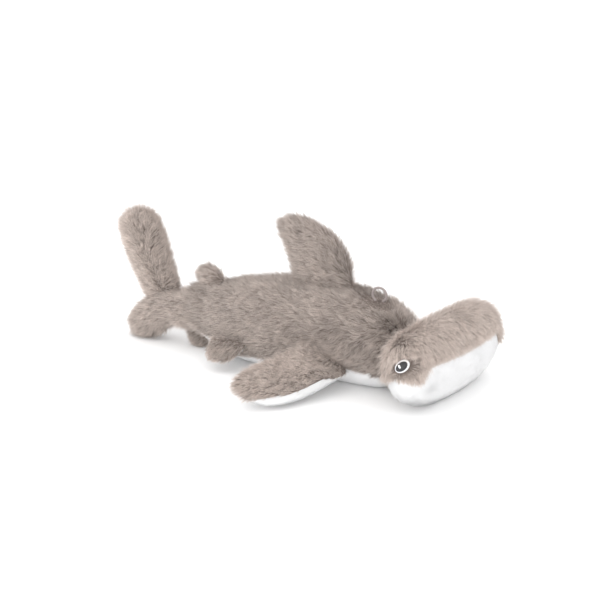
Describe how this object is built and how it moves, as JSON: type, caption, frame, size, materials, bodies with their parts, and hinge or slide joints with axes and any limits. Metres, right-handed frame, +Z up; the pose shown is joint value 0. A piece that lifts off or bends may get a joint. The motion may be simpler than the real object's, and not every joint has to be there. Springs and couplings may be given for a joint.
{
  "type": "plush shark",
  "caption": "Stuffed hammerhead shark toy in long-pile plush with a white underside, soft fins that flop, an elastic hang loop and a squeaker inside.",
  "frame": {"origin": "the point under the shoulders where the belly rests on the floor", "axes": "+X from the tail towards the head, +Y to the shark's left, +Z up"},
  "size_m": [0.3963, 0.2616, 0.1535],
  "materials": {
    "grey_plush": "long-pile plush, warm grey, brushed towards the tail",
    "white_plush": "short-pile plush, white",
    "stuffing": "loose polyester fibre",
    "squeaker_bulb": "soft translucent plastic",
    "squeaker_reed": "hard plastic",
    "elastic_cord": "braided elastic cord, dark grey",
    "sewing_thread": "polyester thread, dark grey",
    "eye_white": "satin-stitch embroidery, white",
    "eye_pupil": "satin-stitch embroidery, black with a slight sheen"
  },
  "bodies": {
    "torso": {"body_panel_right": "grey_plush", "body_panel_left": "grey_plush", "belly_panel": "white_plush", "body_stuffing_front": "stuffing", "body_stuffing_rear": "stuffing", "squeaker_bulb": "squeaker_bulb", "squeaker_reed": "squeaker_reed", "loop_tack": "sewing_thread"},
    "head": {"head_top_panel": "grey_plush", "head_under_panel": "white_plush", "head_stuffing": "stuffing", "eye_patch_right": "eye_white", "eye_pupil_right": "eye_pupil", "eye_glint_right": "eye_white", "eye_patch_left": "eye_white", "eye_pupil_left": "eye_pupil", "eye_glint_left": "eye_white"},
    "tail": {"tail_panel_right": "grey_plush", "tail_panel_left": "grey_plush", "tail_stuffing": "stuffing"},
    "upper_lobe": {"upper_lobe_panel_right": "grey_plush", "upper_lobe_panel_left": "grey_plush", "upper_lobe_stuffing": "stuffing"},
    "dorsal_fin": {"dorsal_panel_right": "grey_plush", "dorsal_panel_left": "grey_plush", "dorsal_stuffing": "stuffing"},
    "rear_dorsal_fin": {"rear_dorsal_panel_right": "grey_plush", "rear_dorsal_panel_left": "grey_plush"},
    "pectoral_right": {"pectoral_top_right": "grey_plush", "pectoral_under_right": "white_plush", "pectoral_stuffing_right": "stuffing"},
    "pectoral_left": {"pectoral_top_left": "grey_plush", "pectoral_under_left": "white_plush", "pectoral_stuffing_left": "stuffing"},
    "pelvic_right": {"pelvic_top_right": "grey_plush", "pelvic_under_right": "white_plush"},
    "pelvic_left": {"pelvic_top_left": "grey_plush", "pelvic_under_left": "white_plush"},
    "anal_fin": {"anal_panel_right": "grey_plush", "anal_panel_left": "white_plush"},
    "loop": {"hang_loop": "elastic_cord"}
  },
  "joints": [
    {"name": "neck_turn", "type": "hinge", "parent": "torso", "child": "head", "pos_m": [0.095, 0, 0.037], "axis": [0, 0, 1], "range_deg": [-15, 25], "stiffness_Nm_per_rad": 0.6},
    {"name": "tail_swing", "type": "hinge", "parent": "torso", "child": "tail", "pos_m": [-0.112, 0, 0.039], "axis": [0, 0, 1], "range_deg": [-35, 35], "stiffness_Nm_per_rad": 0.15},
    {"name": "upper_lobe_flop", "type": "hinge", "parent": "tail", "child": "upper_lobe", "pos_m": [-0.16042, 0, 0.05709], "axis": [0.9336, 0, 0.3584], "range_deg": [-40, 40], "stiffness_Nm_per_rad": 0.12},
    {"name": "dorsal_fin_flop", "type": "hinge", "parent": "torso", "child": "dorsal_fin", "pos_m": [0.027, 0, 0.0904], "axis": [1, 0, 0], "range_deg": [-55, 55], "stiffness_Nm_per_rad": 0.12},
    {"name": "rear_dorsal_flop", "type": "hinge", "parent": "torso", "child": "rear_dorsal_fin", "pos_m": [-0.098, 0, 0.07215], "axis": [0.9525, 0, 0.3045], "range_deg": [-45, 45], "stiffness_Nm_per_rad": 0.02},
    {"name": "pectoral_right_flap", "type": "hinge", "parent": "torso", "child": "pectoral_right", "pos_m": [0.047, -0.0464, 0.029], "axis": [-0.9135, 0, 0.4067], "range_deg": [-20, 60], "stiffness_Nm_per_rad": 0.25},
    {"name": "pectoral_left_flap", "type": "hinge", "parent": "torso", "child": "pectoral_left", "pos_m": [0.047, 0.0464, 0.029], "axis": [0.9135, 0, -0.4067], "range_deg": [-20, 60], "stiffness_Nm_per_rad": 0.25},
    {"name": "pelvic_right_flap", "type": "hinge", "parent": "torso", "child": "pelvic_right", "pos_m": [-0.059, -0.04225, 0.027], "axis": [-1, 0, 0], "range_deg": [-20, 55], "stiffness_Nm_per_rad": 0.03},
    {"name": "pelvic_left_flap", "type": "hinge", "parent": "torso", "child": "pelvic_left", "pos_m": [-0.059, 0.04225, 0.027], "axis": [1, 0, 0], "range_deg": [-20, 55], "stiffness_Nm_per_rad": 0.03},
    {"name": "anal_fin_flop", "type": "hinge", "parent": "torso", "child": "anal_fin", "pos_m": [-0.118, 0, 0.0127], "axis": [-0.9563, 0, 0.2924], "range_deg": [-45, 45], "stiffness_Nm_per_rad": 0.02},
    {"name": "hang_loop_swing", "type": "hinge", "parent": "torso", "child": "loop", "pos_m": [0.086, 0, 0.08085], "axis": [1, 0, 0], "range_deg": [-45, 45], "stiffness_Nm_per_rad": 0.002}
  ]
}
